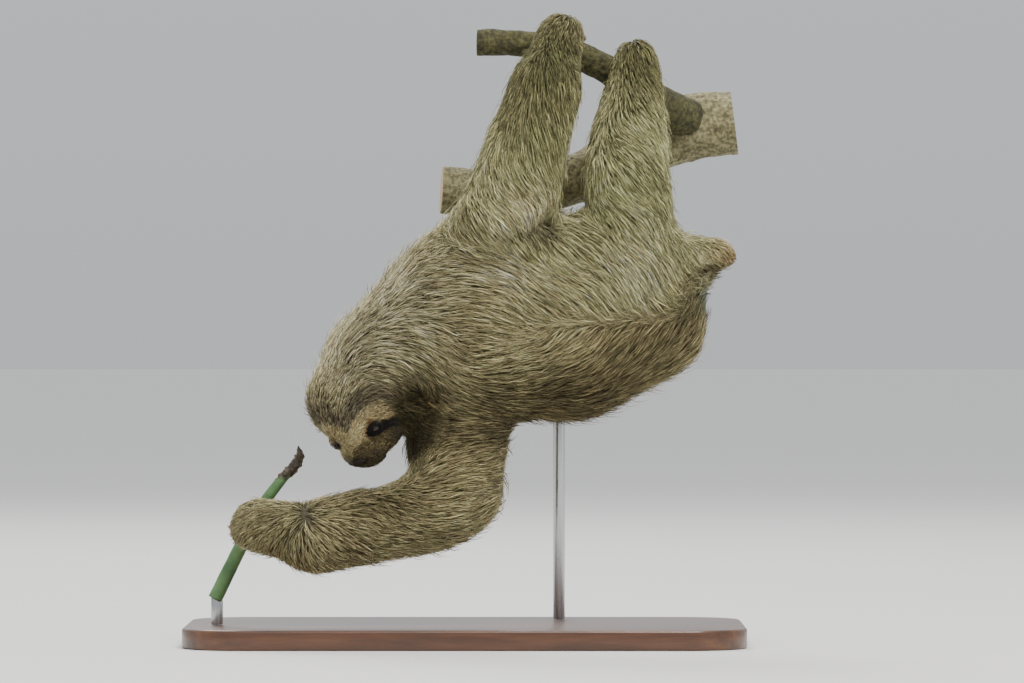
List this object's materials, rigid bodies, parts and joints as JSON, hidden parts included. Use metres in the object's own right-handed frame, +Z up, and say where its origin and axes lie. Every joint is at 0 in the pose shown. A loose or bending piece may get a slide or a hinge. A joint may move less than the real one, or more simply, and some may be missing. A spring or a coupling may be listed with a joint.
{
  "type": "three-toed sloth model",
  "caption": "Life-size shaggy sloth hanging back to the viewer from a forked branch by hooked claws, one arm drawing in a green stem, on a flat base with rods.",
  "frame": {"origin": "middle of the base's underside, on the floor", "axes": "+Z up; the sloth's back faces -Y and its rump +X, so the usual view looks along +Y"},
  "size_m": [0.56, 0.3, 0.6332],
  "materials": {
    "coat": "long coarse grey-brown hair with pale, olive-tinged tips",
    "face": "short fur, dark hood, pale face with dark eye stripes",
    "eye": "near-black, wet and glossy",
    "nose": "bare dark skin, slightly moist",
    "claw": "smooth yellow-grey horn",
    "bark": "rough grey-brown bark with pale lichen",
    "stem": "green stem with a dead brown tip",
    "wood": "dark varnished hardwood",
    "steel": "brushed"
  },
  "bodies": {
    "root": {"upper_arm_right": "coat", "forearm_right": "coat", "hand_right": "coat", "upper_arm_left": "coat", "forearm_left": "coat", "hand_left": "coat", "thigh_right": "coat", "shin_right": "coat", "foot_right": "coat", "thigh_left": "coat", "shin_left": "coat", "foot_left": "coat", "trunk": "coat", "neck": "coat", "tail": "coat", "head": "face", "claw_hand_right_inner": "claw", "claw_hand_right_middle": "claw", "claw_hand_right_outer": "claw", "claw_hand_left_inner": "claw", "claw_hand_left_middle": "claw", "claw_hand_left_outer": "claw", "claw_foot_right_inner": "claw", "claw_foot_right_middle": "claw", "claw_foot_right_outer": "claw", "claw_foot_left_inner": "claw", "claw_foot_left_middle": "claw", "claw_foot_left_outer": "claw", "eye_left": "eye", "eye_right": "eye", "nose": "nose", "perch_branch_thick": "bark", "perch_branch_thin": "bark", "perch_stem": "stem", "stand_base": "wood", "stand_rod_branch": "steel", "stand_rod_stem": "steel"}
  },
  "joints": []
}
